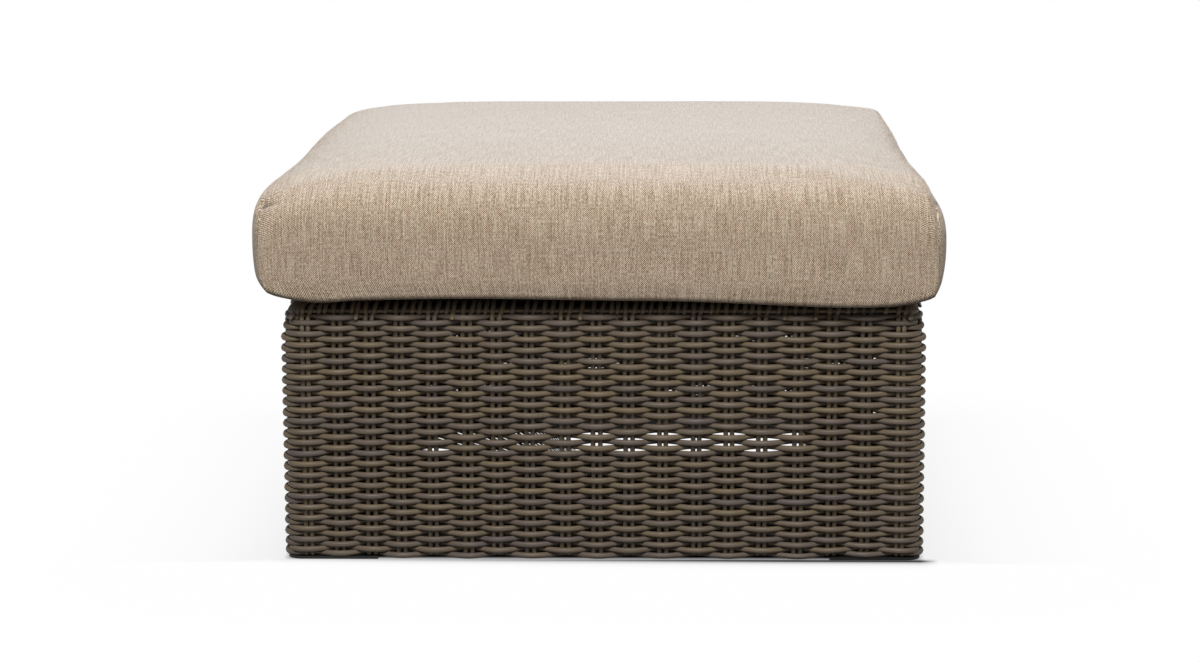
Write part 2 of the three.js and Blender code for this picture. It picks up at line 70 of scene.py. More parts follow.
STAKE = 5.0  # diameter of an upright strand
WEAVER = 6.4  # diameter of a level strand
ROWS = 45
ROW_FOOT = 4.2  # height of the lowest level strand
ROW_PITCH = 5.91
PAIRS = 19  # upright pairs on a side
PAIR_REACH = 317.2  # from a side's middle to its last pair
PAIR_SPREAD = 3.55  # from a pair's middle to each of its strands
END_SPREAD = 3.0  # the same for the last pairs of a side
PAIR_DRIFT = 7.0  # how far the middle pairs stand to one side
PAIR_JITTER = 1.9
ROW_BANDS = 5  # meshes that the level strands are shared by

FLAT = FACE - CORNER_RADIUS  # from a side's middle to where its corners begin
BEND = CORNER_RADIUS - SKIN / 2  # radius of the weave's middle at a corner
ARC = BEND * math.pi / 2
SIDE = 2 * FLAT + ARC
GIRTH = 4 * SIDE
SWING = (STAKE + WEAVER) / 2  # of a level strand, to each side of the weave's middle

BASE_SIDES = ("front", "right", "back", "left")


# Plan of the base

def turned(x, y, quarters):
    """A place turned round the middle by quarter turns."""
    heading = quarters * math.pi / 2
    return x * np.cos(heading) - y * np.sin(heading), x * np.sin(heading) + y * np.cos(heading)


def plan(along, outward):
    """Points at a distance along the weave's middle line and outward of it, as x, y."""
    along = np.mod(along, GIRTH)
    turn = np.floor(along / SIDE)
    rest = along - turn * SIDE
    angle = np.clip((rest - 2 * FLAT) / BEND, 0, math.pi / 2)
    x = np.minimum(rest, 2 * FLAT) - FLAT + (BEND + outward) * np.sin(angle)
    return turned(x, -FLAT - (BEND + outward) * np.cos(angle), turn)


def pair_places():
    """Places of the upright pairs along each side, from its middle."""
    even = np.linspace(-PAIR_REACH, PAIR_REACH, PAIRS)
    jitter = rng.uniform(-PAIR_JITTER, PAIR_JITTER, (4, PAIRS))
    jitter[:, [0, -1]] = 0
    return even + PAIR_DRIFT * ((even / PAIR_REACH) ** 2 - 1) + jitter


pairs = pair_places()


def phase_at(along):
    """Half waves passed at a distance along the middle line. Whole numbers are pairs."""
    marks, values = [], []
    for turn in range(-2, 6):
        marks += [turn * SIDE - ARC / 2, *(turn * SIDE + FLAT + pairs[turn % 4])]
        values += [turn * PAIRS + 0.5, *(turn * PAIRS + 1 + np.arange(PAIRS))]
    return np.interp(along, marks, values)


# Objects and meshes

def new_object(name, data):
    """An object of the scene that holds a mesh, a lamp or a camera."""
    piece = bpy.data.objects.new(name, data)
    bpy.context.scene.collection.objects.link(piece)
    return piece


def new_piece(name, points, faces, soft=True):
    """A mesh object from points in millimetres."""
    mesh = bpy.data.meshes.new(name)
    mesh.from_pydata((points * MM).tolist(), [], faces)
    mesh.polygons.foreach_set("use_smooth", np.full(len(faces), soft))
    return new_object(name, mesh)


def store(mesh, name, values, domain="POINT"):
    """Writes numbers or vectors as an attribute of a mesh."""
    kind, field = ("FLOAT_VECTOR", "vector") if values.ndim == 2 else ("FLOAT", "value")
    mesh.attributes.new(name, kind, domain).data.foreach_set(field, values.astype(np.float32).ravel())


def store_atlas(mesh, uv):
    mesh.uv_layers.new(name="OFBake").data.foreach_set("uv", uv.astype(np.float32).ravel())


def read(mesh, field):
    """A vector of every vertex, such as its place (co) or its normal."""
    flat = np.empty(len(mesh.vertices) * 3)
    mesh.vertices.foreach_get(field, flat)
    return flat.reshape(-1, 3)


def points_of(mesh):
    return read(mesh, "co") / MM


def put_points(mesh, points):
    mesh.vertices.foreach_set("co", (points * MM).astype(np.float32).ravel())
    mesh.update()


def face_outwards(mesh):
    """Flips a closed mesh whose faces point in."""
    mesh.calc_loop_triangles()
    corners = np.empty(len(mesh.loop_triangles) * 3, dtype=np.int32)
    mesh.loop_triangles.foreach_get("vertices", corners)
    a, b, c = points_of(mesh)[corners.reshape(-1, 3)].transpose(1, 0, 2)
    if np.einsum("ij,ij->i", a, np.cross(b, c)).sum() < 0:
        mesh.flip_normals()


def smooth(share):
    """A share from 0 to 1, eased at both ends."""
    share = np.clip(share, 0, 1)
    return share * share * (3 - 2 * share)


def bell(share):
    return np.exp(-(share ** 2))


def join(*parts):
    """Points from their coordinates."""
    return np.stack(np.broadcast_arrays(*parts), axis=1)


def unit(vectors):
    return vectors / np.linalg.norm(vectors, axis=1)[:, None]


def lengths_along(ring):
    """Distance run at each point of a closed line."""
    steps = np.linalg.norm(np.roll(ring, -1, axis=0) - ring, axis=1)
    return np.concatenate([[0], np.cumsum(steps)[:-1]])


# Strand meshes

END_REACH_SHARES = np.array([[0.5], [0.8], [0.95]])  # of the rings that round off an end, from its last ring
END_SIZE_SHARES = np.array([[0.87], [0.6], [0.3]])
CAP_ROW = 0.02  # height of the row of end caps in the atlas
CAP_SIZE = 0.4
CAP_QUADS = {8: [(0, 1, 2, 3), (0, 3, 4, 7), (4, 5, 6, 7)], 6: [(0, 1, 2, 3), (0, 3, 4, 5)]}
GRAIN_RUN = 9000  # length of material that strands are cut from


class Strands:
    """Collects round strands, and makes one mesh of them with a strip atlas."""

    def __init__(self, sides=8, strip=160):
        self.sides = sides
        self.strip = strip  # rings of a strip in the atlas
        self.points, self.cross, self.tints, self.faces, self.uvs = [], [], [], [], []
        self.count = self.strips = self.caps = 0
        angles = np.arange(sides) * math.tau / sides
        self.circle = join(np.cos(angles), np.sin(angles))

    def add(self, centres, wide, high, tint, closed=False):
        """One strand: ring centres, with the section's half axes as vectors."""
        if not closed:
            centres, wide, high = rounded(centres, wide, high)
        rings = len(centres)
        cos, sin = self.circle.T
        ring = centres[:, None] + cos[:, None] * wide[:, None] + sin[:, None] * high[:, None]
        along = lengths_along(centres) + rng.uniform(0, GRAIN_RUN)
        across = np.linalg.norm(wide, axis=1)[:, None] * cos
        up = np.linalg.norm(high, axis=1)[:, None] * sin
        self.points.append(ring.reshape(-1, 3))
        self.cross.append(np.stack([across, up, along[:, None] + 0 * up], axis=2).reshape(-1, 3))
        self.tints.append(np.full(rings * self.sides, tint))

        span = np.arange(rings if closed else rings - 1)[:, None]
        low = np.arange(self.sides)
        after_low = (low + 1) % self.sides
        here, after = self.count + span * self.sides, self.count + (span + 1) % rings * self.sides
        quads = np.stack([here + low, here + after_low, after + after_low, after + low], axis=2)
        self.faces.append(quads.reshape(-1, 4))
        u0 = span % self.strip / self.strip + 0 * low
        v0 = self.strips + span // self.strip + low / self.sides
        u1, v1 = u0 + 1 / self.strip, v0 + 1 / self.sides
        self.uvs.append((np.stack([u0, v0, u0, v1, u1, v1, u1, v0], axis=2).reshape(-1, 2), "strip"))
        self.strips += int(span[-1, 0]) // self.strip + 1
        if not closed:
            self.cap(self.count, -1)
            self.cap(self.count + (rings - 1) * self.sides, 1)
        self.count += rings * self.sides

    def cap(self, first, way):
        """Quads across an end ring of eight or six points."""
        rows = np.array(CAP_QUADS[self.sides])[:, ::way]
        self.faces.append(rows + first)
        self.uvs.append(((self.circle * CAP_SIZE + 0.5)[rows.ravel()] + (self.caps, 0), "cap"))
        self.caps += 1

    def atlas(self):
        """Strips fill the lower part of the atlas, end caps a row along its top."""
        cap_row = CAP_ROW if self.caps else 0.0
        parts = []
        for uv, kind in self.uvs:
            u, v = uv.T
            if kind == "strip":
                v = v * ((1 - cap_row) / self.strips)
            else:
                u, v = u / self.caps, 1 - cap_row * (1 - v)
            parts.append(join(u, v))
        return np.concatenate(parts)

    def build(self, name):
        """The mesh object, in metres, with its cross and tint attributes and its atlas."""
        piece = new_piece(name, np.concatenate(self.points), np.concatenate(self.faces).tolist())
        store(piece.data, "cross", np.concatenate(self.cross) * MM)
        store(piece.data, "tint", np.concatenate(self.tints))
        store_atlas(piece.data, self.atlas())
        piece.data.validate()  # known fault: one ring of each closed strand isn't finite, and goes to the origin
        return piece


def rounded(centres, wide, high):
    """The same strand with three more rings at each end that round it off."""
    reach = min(np.linalg.norm(wide[0]), np.linalg.norm(high[0]))
    first, last = centres[0] - centres[1], centres[-1] - centres[-2]
    lead = centres[0] + first / np.linalg.norm(first) * reach * END_REACH_SHARES[::-1]
    tail = centres[-1] + last / np.linalg.norm(last) * reach * END_REACH_SHARES
    sizes = END_SIZE_SHARES
    wide, high = (np.concatenate([way[0] * sizes[::-1], way, way[-1] * sizes]) for way in (wide, high))
    return np.concatenate([lead, centres, tail]), wide, high


def level_frames(centres, closed=False):
    """Unit vectors across a level strand: one level, one square to it and to the run."""
    if closed:
        run = np.roll(centres, -1, axis=0) - np.roll(centres, 1, axis=0)
    else:
        run = np.gradient(centres, axis=0)
    run = unit(run)
    across = unit(np.cross((0.0, 0.0, 1.0), run))
    return across, np.cross(run, across)


# Level strands

RINGS = 8  # of a level strand in a half wave
CORNER_SPAN = 1.5  # half waves to each side of a corner where the rows change
CORNER_OUT = 4.0  # how far the rows stand out at a corner
TOP_IN = 6.0  # how far the top rows stand back from that
CORNER_CALM = 0.4  # share of their swing that the rows lose there
ROW_SINK = 0.3  # largest, of a row into the weave
ROW_WANDER = 0.16
PAD_LIFT = 2.0  # of the lowest row over a floor pad
PAD_SLOPE = 12.0  # length in which it comes down again
ROW_HIGH = 3.05  # half height of a row's strand
OUTER_HIGH, INNER_HIGH, BACK_HIGH = 0.2, -0.55, 0.75  # what it gains outside, inside and on the back
ROW_THICK = 2.9  # half its thickness

marks = np.linspace(-SIDE, GIRTH + SIDE, 60000)
along_rings = np.interp(np.arange(4 * PAIRS * RINGS) / RINGS - PAIRS + 0.5, phase_at(marks), marks)
phase_rings = phase_at(along_rings)
corner_phase = np.abs(np.mod(phase_rings - 0.5 + PAIRS / 2, PAIRS) - PAIRS / 2)
at_corner = np.cos(np.clip(corner_phase / CORNER_SPAN, 0, 1) * math.pi / 2) ** 2
on_back = (np.floor(along_rings / SIDE) % 4 == 2).astype(float)


def wander(waves, size):
    """A smooth closed random line round the base."""
    turns = np.linspace(0, math.tau, len(along_rings), endpoint=False)
    line = sum(rng.normal() * np.sin(wave * turns + rng.uniform(0, math.tau)) for wave in waves)
    return line * size / math.sqrt(len(waves) / 2)


def level_strand(row):
    """Centres and half axes of a level strand. Neighbours pass the pairs on opposite sides."""
    wave = (1 if row % 2 == 0 else -1) * np.cos(math.pi * phase_rings)
    corner_out = CORNER_OUT - TOP_IN * smooth((row - ROWS + 5) / 4)
    swing = SWING * wave * (1 - CORNER_CALM * at_corner)
    x, y = plan(along_rings, swing - ROW_SINK * rng.uniform(0, 1) + corner_out * at_corner)
    level = ROW_FOOT + ROW_PITCH * row + wander(range(3, 40, 4), ROW_WANDER)
    if row < 2:
        over_pad = np.abs(np.stack([x, y])).min(axis=0) + pad_high[0]
        level = level + PAD_LIFT * np.clip(over_pad / PAD_SLOPE + 0.5, 0, 1) * (1 if row == 0 else 0.4)
    centres = join(x, y, level)
    across, high = level_frames(centres, closed=True)
    tall = ROW_HIGH + OUTER_HIGH * np.maximum(wave, 0) + INNER_HIGH * np.maximum(-wave, 0)
    tall = tall + BACK_HIGH * on_back + wander(range(5, 60, 7), 0.05)
    thick = ROW_THICK - 0.1 * np.abs(wave)
    return centres, across * thick[:, None], high * tall[:, None]


def level_strands():
    """Every level strand, each a closed loop round the base, in a few meshes."""
    for band in range(ROW_BANDS):
        strands = Strands()
        for row in range(band * ROWS // ROW_BANDS, (band + 1) * ROWS // ROW_BANDS):
            strands.add(*level_strand(row), rng.uniform(0, 1), closed=True)
        yield strands.build(f"weave_rows_{band + 1}")


# Upright strands, carried on over the rim

ROW_TOP = ROW_FOOT + ROW_PITCH * (ROWS - 1)
WRAP_THICK = 3.6
WRAP_STEPS = 9
WRAP_SLANT = 3.0  # how far a wrap leans along the side
TURN_RADIUS = RIM_RADIUS - WRAP_THICK / 2
TURN_START = math.radians(24)
RIM_SET_BACK = 7.0  # of the wraps behind the weave's face
FAN_START = 285.0  # beyond this the wraps draw together towards the rim's inner corner
OUTER_CORNER = FLAT + CORNER_RADIUS * math.pi / 4
UPRIGHT_THICK = 2.15  # half, below the rim
UPRIGHT_BOW = 0.55  # how far an upright gives way to each row
UPRIGHT_SWAY = 0.35


def rim_inner_place(along_face):
    """Where a wrap that leaves the face at this place along the side meets the rim's inner edge."""
    beyond = np.maximum(np.abs(along_face) - FAN_START, 0)
    squeeze = (RIM_INNER - FAN_START) / (OUTER_CORNER - FAN_START)
    return np.sign(along_face) * (np.minimum(np.abs(along_face), FAN_START) + beyond * squeeze)


def face_point(side, place, depth):
    """A point at a place along a side's face, measured round half of each corner, and a depth behind it."""
    angle = np.sign(place) * np.maximum(np.abs(place) - FLAT, 0) / CORNER_RADIUS
    x = np.clip(place, -FLAT, FLAT) + (CORNER_RADIUS - depth) * np.sin(angle)
    return turned(x, -FLAT - (CORNER_RADIUS - depth) * np.cos(angle), side)


def wrap_profile(start_depth, start_height):
    """Depth behind the face and height of a wrap: out from the weave, round the rim's edge and across it."""
    level = RIM_TOP - WRAP_THICK / 2
    rise = np.linspace(0, 1, 6)[:-1]
    turn = np.linspace(TURN_START, math.pi / 2, 6)
    over = np.linspace(0, 1, WRAP_STEPS)[1:]
    turn_depth = RIM_RADIUS - TURN_RADIUS * np.cos(turn)
    turn_height = RIM_TOP - RIM_RADIUS + TURN_RADIUS * np.sin(turn)
    start_turn, start_rise = turn_depth[0] - start_depth, turn_height[0] - start_height
    depth, height = np.concatenate([
        (start_depth + start_turn * smooth(rise), start_height + start_rise * rise),
        (turn_depth, turn_height),
        (RIM_RADIUS + (RIM_WIDTH - 3.0 - RIM_RADIUS) * over, level + 0 * over),
        ((RIM_WIDTH - 1.0, RIM_WIDTH - 0.2), (level - 1.2, level - 4.0)),
    ], axis=1)
    set_back = RIM_SET_BACK * smooth((height - start_height) / 5.0) * smooth((RIM_WIDTH - depth) / 20.0)
    return depth + set_back, height


def wrap_path(side, place, slant, start_depth, start_height):
    """Centres of a wrap over the rim, which leans along the side as it climbs."""
    depth, height = wrap_profile(start_depth, start_height)
    leaning = place + slant * np.clip((height - start_height) / (RIM_TOP - start_height), 0, 1)
    x0, y0 = face_point(side, leaning, np.minimum(depth, RIM_RADIUS))
    x1, y1 = turned(rim_inner_place(leaning), -RIM_INNER, side)
    share = np.clip((depth - RIM_RADIUS) / (RIM_WIDTH - RIM_RADIUS), 0, 1)
    return join(x0 + (x1 - x0) * share, y0 + (y1 - y0) * share, height)


def strand_axes(centres, lead, wide, thick):
    """Half axes of an upright or a wrap: wide along the side, thick square to it and to the run."""
    run = unit(np.gradient(centres, axis=0))
    side_axis = unit(lead - np.sum(lead * run, axis=1)[:, None] * run)
    return side_axis * wide, np.cross(run, side_axis) * thick


def side_lead(side):
    """The direction along a side."""
    return np.array([*turned(1.0, 0.0, side), 0.0])


def corner_lead(centres):
    """Level directions along the base's outline, for wraps at a corner."""
    place = centres[:, :2]
    beyond = place - np.clip(place, -FLAT, FLAT)
    x, y = unit(np.where(np.linalg.norm(beyond, axis=1)[:, None] > 0.5, beyond, place)).T
    return join(-y, x, 0)


def upright(side, pair, hand):
    """Centres of one upright of a pair, from the floor end to the rim's inner edge."""
    place = pairs[side, pair]
    levels = np.arange(ROW_FOOT + 1.4, ROW_TOP - 1.0, ROW_PITCH / 3)
    parity = 1 if (side * PAIRS + pair + 1) % 2 == 0 else -1
    bow = -UPRIGHT_BOW * parity * np.cos(math.pi * (levels - ROW_FOOT) / ROW_PITCH)
    spread, push = (END_SPREAD, 2.0) if pair in (0, PAIRS - 1) else (PAIR_SPREAD, 0.0)
    sway = UPRIGHT_SWAY * np.sin(levels / 23.0 + rng.uniform(0, 6))
    lean = hand * spread + sway + rng.uniform(-0.25, 0.25)
    x, y = face_point(side, place + lean, SKIN / 2 - bow - push)
    slant = hand * 1.8 + WRAP_SLANT + rng.uniform(-0.8, 0.8)
    top = wrap_path(side, place + lean[-1], slant, SKIN / 2 + 0.4, levels[-1] + 1.6)
    return np.concatenate([join(x, y, levels), top])


def upright_strands():
    """The uprights of each side, which end as wraps over the rim."""
    for side, name in enumerate(BASE_SIDES):
        strands = Strands()
        for pair in range(PAIRS):
            tint = rng.uniform(0.1, 0.7)
            for hand in (-1, 1):
                centres = upright(side, pair, hand)
                rising = np.clip((centres[:, 2:] - ROW_TOP) / 6.0, 0, 1)
                thick = UPRIGHT_THICK + (WRAP_THICK / 2 - UPRIGHT_THICK) * rising
                axes = strand_axes(centres, side_lead(side), STAKE / 2 + 0.1, thick)
                strands.add(centres, *axes, tint + rng.uniform(-0.08, 0.08))
        yield strands.build(f"weave_uprights_{name}")


# Filling wraps and the lengthwise strand of the rim

TWO_SHARES, ONE_SHARE = (0.41, 0.61), (0.5,)  # where wraps stand between two pairs
TWO_CHANCE = 0.55
FAN_WRAPS = 3  # wraps at each end of a side
FAN_PITCH = 7.2
OVER_CHANCE = 0.2  # of a wrap that starts outside the top row
CORE_DEPTH = 13.2  # of the lengthwise strand behind the weave's face
CORE_HEIGHT = 270.0
CORE_RADIUS = 2.3
CORE_TINT = 0.15


def rim_wraps():
    """Wraps between the pairs and round the corners of the rim."""
    for side, name in enumerate(BASE_SIDES):
        strands = Strands()
        between = []
        for low, high in zip(pairs[side, :-1], pairs[side, 1:]):
            shares = TWO_SHARES if rng.uniform() < TWO_CHANCE else ONE_SHARE
            between.extend(low + (high - low) * share + rng.uniform(-1.0, 1.0) for share in shares)
        fan = OUTER_CORNER - np.arange(FAN_WRAPS) * FAN_PITCH
        for place in (*-fan, *between, *fan[:0:-1]):
            over_row = rng.uniform() < OVER_CHANCE
            depth, below = (2.6, 0.5) if over_row else (SKIN / 2 + 1.5, 2.0)
            centres = wrap_path(side, place, WRAP_SLANT + rng.uniform(-1.0, 1.0), depth, ROW_TOP - below)
            lead = corner_lead(centres) if abs(place) > FLAT else side_lead(side)
            axes = strand_axes(centres, lead, STAKE / 2, WRAP_THICK / 2)
            strands.add(centres, *axes, rng.uniform(0.0, 0.8))
        yield strands.build(f"rim_wraps_{name}")


def rim_core():
    """The lengthwise strand that the wraps hold against the rim."""
    strands = Strands()
    x, y = plan(along_rings, SKIN / 2 - CORE_DEPTH)
    centres = join(x, y, CORE_HEIGHT + wander(range(7, 50, 6), 0.2))
    across, high = level_frames(centres, closed=True)
    strands.add(centres, across * CORE_RADIUS, high * CORE_RADIUS, CORE_TINT, closed=True)
    return strands.build("rim_lengthwise_strand")


# Seat deck

DECK_PITCH = 11.6
DECK_RINGS = 4


def seat_deck():
    """Strands woven over and under each other both ways across the seat."""
    reach = deck_high[0]
    count = int(round(2 * reach / DECK_PITCH))
    step = 2 * reach / count
    lines = (np.arange(count) + 0.5) / count * 2 * reach - reach
    run = np.arange(1, count * DECK_RINGS) / DECK_RINGS
    half = STAKE / 2
    for way, name in enumerate(("across", "lengthwise")):
        strands = Strands(6, 208)
        for index, line in enumerate(lines):
            sign = 1 if (index + way) % 2 == 0 else -1
            level = (deck_low[2] + deck_high[2]) / 2 + sign * half * np.sin(math.pi * run)
            position = run * step - reach
            offset = line + 0.3 * np.sin(run * 0.7 + rng.uniform(0, 6))
            centres = join(position, offset, level) if way == 0 else join(offset, position, level)
            across, high = level_frames(centres)
            strands.add(centres, across * half, high * (half - 0.2), rng.uniform(0.1, 0.8))
        yield strands.build(f"seat_deck_{name}")


# Cushion cover, in millimetres

band_low, band_high = box_of("cushion_cover_band")
tape_low, tape_high = box_of("zip_tape")
teeth_low, teeth_high = box_of("zip_teeth")
CUSHION_BASE = band_low[2]
BAND_REACH = band_high[1]
ZIP_HALF = tape_high[0]
ZIP_MIDDLE = (tape_low[2] + tape_high[2]) / 2 - CUSHION_BASE
SEAM_REACH = 361.0  # largest reach of an end seam from the middle
PUFF_RUN = 8.0  # how soon an end panel's bulge rises from the seam
END_NARROW = 1.5  # how far front and back draw in at the ends
FACE_LEAN = 1.6  # how far front and back lean in towards the top
CROWN = 147.4  # height of the middle over the underside
CROWN_FALL = 8.0  # of the top towards front and back
TOP_RUN = 80.0  # the rounding between top and front: its reach along the top
TOP_RISE = 50.0  # its height
TOP_POWER = 2.5  # and its form: 2 is an ellipse, more begins flatter
BOTTOM_RADIUS = 8.0
ROLL_REACH = 70.0  # of the underside's rise towards front and back
ROLL_LIFT = 2.8
END_LIFT = 13.5  # of the underside at the end seams
COVER_INSET = 1.2  # left for the filling to swell
INSET_FADE = 26.0  # how soon the inset fades towards the end seams
STATIONS = 200
PIECE_STEPS = (22, 14, 8, 46, 40, 50)  # of flat, roll, bottom arc, face, top arc and top
PANEL_RINGS = 34


class End(NamedTuple):
    """How one end of the cushion lies."""
    reach: float  # from the middle to the end seam at the corners
    pull: float  # how far the seam draws in between its corners
    height: float  # of the seam at the corners
    sink: float  # how much lower it lies between them
    mix: float  # share of the crown's slow fall, the rest falls late
    power: float  # of the late fall
    back_in: float  # how far the seam draws in at the back
    low_in: float  # at the underside
    puff: float  # bulge of the end panel just inside its seam
    dome: float  # and what its middle adds
    slack: float  # power by which the bulge ends towards top and underside


ENDS = {
    -1: End(reach=360.0, pull=12.9, height=117.0, sink=2.6, mix=0.28, power=17.5, back_in=14.5, low_in=13.2,
            puff=8.6, dome=15.0, slack=4.0),
    1: End(reach=353.1, pull=14.0, height=111.0, sink=6.4, mix=0.26, power=42.0, back_in=12.5, low_in=5.0,
           puff=9.8, dome=8.2, slack=2.8),
}


def half_section(share, inset, way):
    """The front (-1) or back (1) half of the section at a share of the half width, from below to the top."""
    end = ENDS[-1 if share < 0 else 1]
    edge = BAND_REACH - END_NARROW * abs(share) ** end.power - inset

    def top_at(y):
        late = end.power * (1 + 0.8 * smooth((way * y + 60) / 360))
        fade = end.mix * abs(share) ** 4 + (1 - end.mix) * abs(share) ** late
        out = np.clip(y / edge, 0, 1)
        crest = CROWN * (1 - fade) + (end.height + CROWN_FALL) * fade
        return crest - end.sink * fade * (1 - out ** 2) - CROWN_FALL * out ** 4 - inset

    flat, roll, low_arc, face, high_arc, over = (np.linspace(0, 1, n, endpoint=False) for n in PIECE_STEPS)
    low, run, rise = BOTTOM_RADIUS - inset, TOP_RUN - inset, TOP_RISE - inset
    raised = END_LIFT * abs(share) ** 12 + inset
    lifted = raised + ROLL_LIFT
    flat_end = edge + inset - ROLL_REACH
    face_low, face_high = lifted + low, top_at(edge) - rise
    low_turn, high_turn = low_arc * math.pi / 2, high_arc * math.pi / 2
    arc_y = edge - run * (1 - np.cos(high_turn) ** (2 / TOP_POWER))
    over_y = (edge - run) * (1 - over)
    y, z = np.concatenate([
        (flat * flat_end, raised + 0 * flat),
        (flat_end + roll * (edge - low - flat_end), raised + smooth(roll) * ROLL_LIFT),
        (edge - low * (1 - np.sin(low_turn)), lifted + low * (1 - np.cos(low_turn))),
        (edge + 0 * face, face_low + face * (face_high - face_low)),
        (arc_y, top_at(arc_y) - rise + rise * np.sin(high_turn) ** (2 / TOP_POWER)),
        (over_y, top_at(over_y)),
    ], axis=1)
    climb = np.clip((z - lifted) / (top_at(edge) - lifted), 0, 1)
    outer = np.clip((y - (edge - run)) / run, 0, 1)
    return y - FACE_LEAN * climb * outer, z


def section(share, inset):
    """The whole section as a loop, from the underside's middle by the front and the top to the back."""
    front_y, front_z = half_section(share, inset, -1)
    back_y, back_z = half_section(share, inset, 1)
    y = np.concatenate([-front_y, [0.0], back_y[:0:-1]])
    return y, np.concatenate([front_z, [back_z[-1]], back_z[:0:-1]])


def seam_at(y, z, hand):
    """How far the left (-1) or right (1) end seam stands from the middle, for z over the underside."""
    end = ENDS[hand]
    reach = end.reach - end.pull * (1 - (y / BAND_REACH) ** 2)
    return reach - end.back_in * smooth((y + 40) / 380) ** 1.5 - end.low_in * smooth((40 - z) / 40) ** 1.5


def seam_near(points):
    """The reach of the end seam on each point's side of the cushion."""
    y, z = points[:, 1], points[:, 2] - CUSHION_BASE
    return np.where(points[:, 0] < 0, seam_at(y, z, -1), seam_at(y, z, 1))


def station_shares():
    even = np.linspace(-1, 1, STATIONS + 1)
    return 0.5 * even + 0.5 * np.sin(even * math.pi / 2)


def shell_points():
    """Points of the band, station by station, and of the two end panels, ring by ring, over the base."""
    band = []
    for share in station_shares():
        near = math.exp(-(1 - abs(share)) * SEAM_REACH / INSET_FADE)
        y, z = section(share, COVER_INSET * (1 - near))
        band.append(join(share * seam_at(y, z, -1 if share < 0 else 1), y, z))
    panels = []
    for hand, end in ENDS.items():
        rings = []
        edge_y, edge_z = band[0 if hand < 0 else -1][:, 1:].T
        middle = (edge_z.min() + edge_z.max()) / 2
        half_height = (edge_z.max() - edge_z.min()) / 2
        for part in 1 - (np.arange(1, PANEL_RINGS) / PANEL_RINGS) ** 1.8:
            y = edge_y * part
            z = middle + (edge_z - middle) * part
            inside = np.hypot(edge_y - y, edge_z - z)
            up = (z - middle) / half_height
            puff = end.puff * (1 - np.exp(-inside / PUFF_RUN)) * (1 - np.abs(up) ** end.slack)
            dome = end.dome * ((1 - (y / BAND_REACH) ** 4) * (1 - up ** 2))
            rings.append(join(hand * (seam_at(y, z, hand) + (puff + dome)), y, z))
        panels.append(np.array(rings))
    return np.array(band), panels


def shell_faces(stations, loop, rings):
    """Quads of the band, then of the left and right panels, whose middles are fans of triangles."""
    j = np.arange(loop)
    k = (j + 1) % loop
    a = np.arange(stations - 1)[:, None] * loop
    b = a + loop
    faces = np.stack([a + j, b + j, b + k, a + k], axis=2).reshape(-1, 4).tolist()
    start = stations * loop
    for edge, way in ((0, 1), (start - loop, -1)):
        inner = start + np.arange(rings)[:, None] * loop
        outer = np.concatenate([[[edge]], inner[:-1]])
        last, start = inner[-1], start + rings * loop
        quads = np.stack([outer + j, outer + k, inner + k, inner + j], axis=2).reshape(-1, 4)
        faces += quads[:, ::way].tolist() + join(last + j, last + k, start)[:, ::way].tolist()
        start += 1
    return faces


def cushion_shell(name):
    """A closed cushion form: the mesh object, its points by index, and its stations and their points."""
    band, panels = shell_points()
    stations, loop = band.shape[:2]
    points = [band.reshape(-1, 3)]
    for rings in panels:
        points += [rings.reshape(-1, 3), rings[-1].mean(axis=0)[None]]
    points = np.concatenate(points) + (0, 0, CUSHION_BASE)
    piece = new_piece(name, points, shell_faces(stations, loop, PANEL_RINGS - 1))
    face_outwards(piece.data)
    return piece, points, stations, loop


# Swelling of the cover

SIM_VOXEL = 7.0
SIM_FRAMES = 20
SIM_PRESSURE = 4.0
SIM_STIFFNESS = 12
SIM_BENDING = 0.4
SWELL_LIMIT = 2.4


def pinned(points):
    """Which points stitches, the zip or the deck hold."""
    x, y, z = np.abs(points[:, 0]), points[:, 1], points[:, 2] - CUSHION_BASE
    rim = np.maximum(np.abs(y) / (BAND_REACH - 6), np.abs(z - 62) / 58.0)
    seam = (np.abs(x - seam_near(points)) < 7) & (rim > 0.86)
    zipped = (y > 340) & (x < ZIP_HALF + 14) & (np.abs(z - ZIP_MIDDLE) < 22)
    return seam | zipped | ((z < 4.5) & (np.abs(y) < 300) & (x < 305))


def swelling(shell):
    """Start points and displacements of the cover, blown up by its filling in a cloth simulation."""
    scene = bpy.context.scene
    body = new_object("swelling_cover", shell.data.copy())
    remesh = body.modifiers.new("remesh", "REMESH")
    remesh.mode = "VOXEL"
    remesh.voxel_size = SIM_VOXEL * MM
    graph = bpy.context.evaluated_depsgraph_get()
    made = bpy.data.meshes.new_from_object(body.evaluated_get(graph))
    body.modifiers.clear()
    body.data = made
    start = points_of(made)
    group = body.vertex_groups.new(name="pins")
    for index in np.nonzero(pinned(start))[0]:
        group.add([int(index)], 1.0, "REPLACE")
    settings = body.modifiers.new("cloth", "CLOTH").settings
    settings.vertex_group_mass = "pins"
    settings.use_pressure = True
    settings.uniform_pressure_force = SIM_PRESSURE
    settings.effector_weights.gravity = 0
    settings.quality = 5
    settings.tension_stiffness = settings.compression_stiffness = SIM_STIFFNESS
    settings.bending_stiffness = SIM_BENDING
    for step in range(1, SIM_FRAMES + 1):
        scene.frame_set(step)
    moved = points_of(body.evaluated_get(bpy.context.evaluated_depsgraph_get()).to_mesh()) - start
    scene.frame_set(1)
    bpy.data.objects.remove(body)
    reach = np.linalg.norm(moved, axis=1)
    moved *= (SWELL_LIMIT * np.tanh(reach / (2 * SWELL_LIMIT)) / np.maximum(reach, 1e-6))[:, None]
    return start, moved


